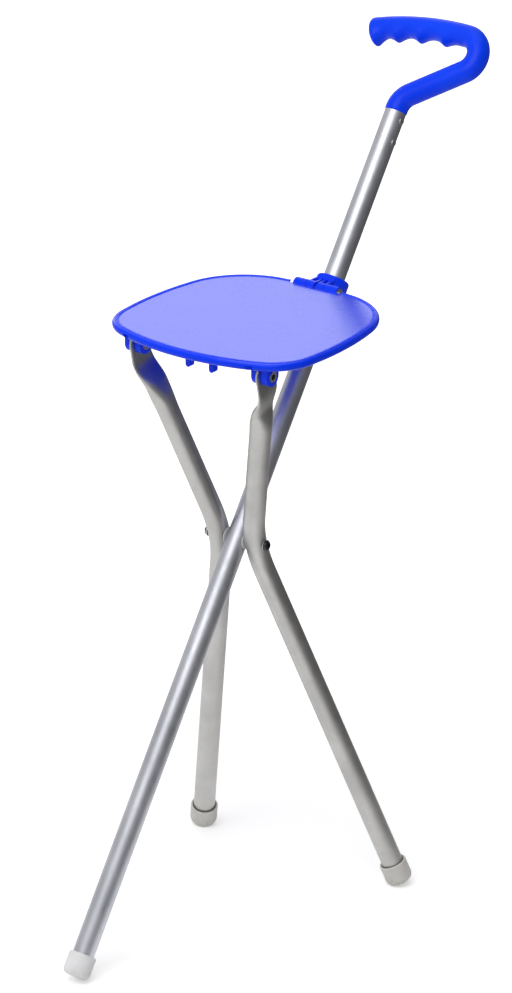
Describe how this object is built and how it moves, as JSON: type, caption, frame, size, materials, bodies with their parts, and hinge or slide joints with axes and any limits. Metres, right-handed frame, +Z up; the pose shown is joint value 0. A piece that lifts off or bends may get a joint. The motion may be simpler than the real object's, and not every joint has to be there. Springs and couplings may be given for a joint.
{
  "type": "walking stick seat",
  "caption": "Walking stick that opens into a low seat: bent legs cross the tube at a pivot and the moulded seat, hinged to a sliding collar, folds flat against the stick.",
  "frame": {"origin": "middle of the worn flat under the front foot, on the floor", "axes": "+X to the right seen from the front foot, +Y to the rear feet, +Z up; the seat is open and level"},
  "size_m": [0.2382, 0.5279, 0.7289],
  "materials": {
    "stick_aluminium": "satin anodised",
    "leg_aluminium": "satin anodised",
    "blue_plastic": "glossy moulded",
    "foot_rubber": "matt moulded",
    "steel": "zinc plated",
    "dark_steel": "blackened",
    "white_nylon": "matt moulded"
  },
  "bodies": {
    "stick": {"main_tube": "stick_aluminium", "front_foot": "foot_rubber", "front_foot_disc": "steel", "handle": "blue_plastic", "handle_rivets": "steel", "pivot_bolt": "steel", "pivot_nut": "dark_steel", "pivot_head_washer": "steel", "pivot_nut_washer": "steel", "pivot_spacers": "white_nylon", "collar_stop_pin": "steel"},
    "legs": {"left_leg": "leg_aluminium", "right_leg": "leg_aluminium", "left_rear_foot": "foot_rubber", "right_rear_foot": "foot_rubber", "left_rear_foot_disc": "steel", "right_rear_foot_disc": "steel"},
    "seat_body": {"seat": "blue_plastic", "hinge_pin": "steel", "hinge_pin_clip": "steel", "left_lug_rivet": "steel", "right_lug_rivet": "steel"},
    "collar": {"slide_collar": "blue_plastic"}
  },
  "joints": [
    {"name": "leg_fold", "type": "hinge", "parent": "stick", "child": "legs", "pos_m": [0, 0.22315, 0.33127], "axis": [-1, 0, 0], "range_deg": [0, 50.17]},
    {"name": "seat_fold", "type": "hinge", "parent": "legs", "child": "seat_body", "pos_m": [0, 0.17206, 0.51063], "axis": [1, 0, 0], "range_deg": [0, 104.67]},
    {"name": "collar_tilt", "type": "hinge", "parent": "seat_body", "child": "collar", "pos_m": [0, 0.33897, 0.52463], "axis": [-1, 0, 0], "range_deg": [0, 54.5]}
  ],
  "couplings": [
    {"joint": "seat_fold", "follows": "leg_fold", "ratio": 2.0863},
    {"joint": "collar_tilt", "follows": "leg_fold", "ratio": 1.0863}
  ]
}
